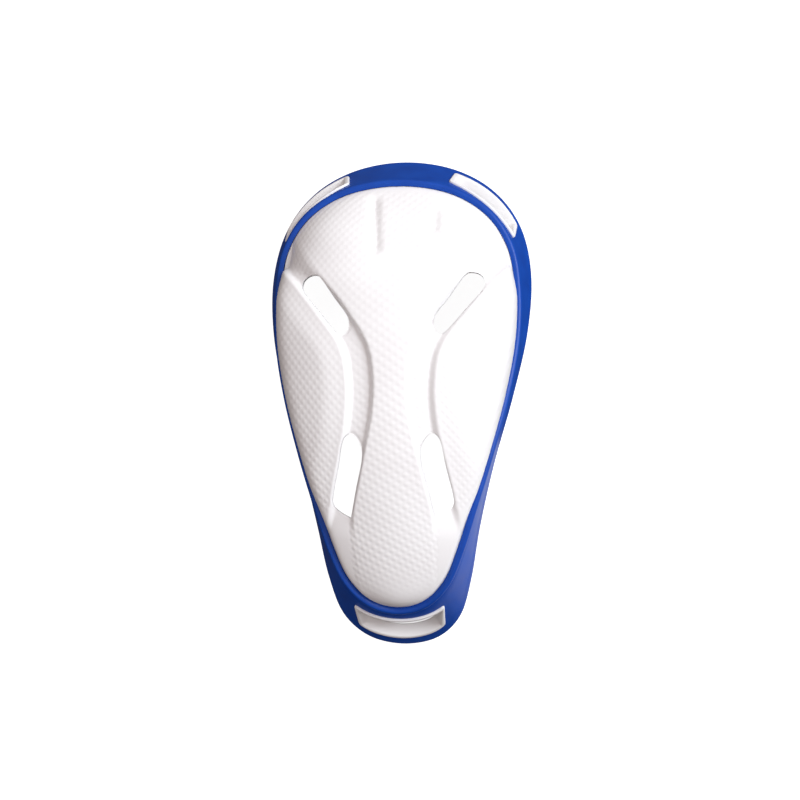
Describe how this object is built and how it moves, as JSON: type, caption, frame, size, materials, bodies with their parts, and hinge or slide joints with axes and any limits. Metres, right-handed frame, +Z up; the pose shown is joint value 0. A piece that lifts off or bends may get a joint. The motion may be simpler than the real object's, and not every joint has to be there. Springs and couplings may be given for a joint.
{
  "type": "abdominal guard",
  "caption": "Moulded plastic groin cup with air vents, relief channels and a soft rubber edge with strap slots, worn under clothing to protect the groin in ball sports.",
  "frame": {"origin": "on the floor under the middle of the guard's outline, with the guard lying on its edge, dome up", "axes": "+X to the right as seen from the dome side with the waist end up, +Y to the wide waist end, +Z up out of the dome"},
  "size_m": [0.101, 0.1899, 0.0548],
  "materials": {
    "white_plastic": "white injection-moulded plastic, satin, with a fine diamond grip texture on its panels",
    "blue_rubber": "royal blue soft moulded rubber, smooth, semi-matt"
  },
  "bodies": {
    "root": {"cup_shell": "white_plastic", "edge_rim": "blue_rubber"}
  },
  "joints": []
}
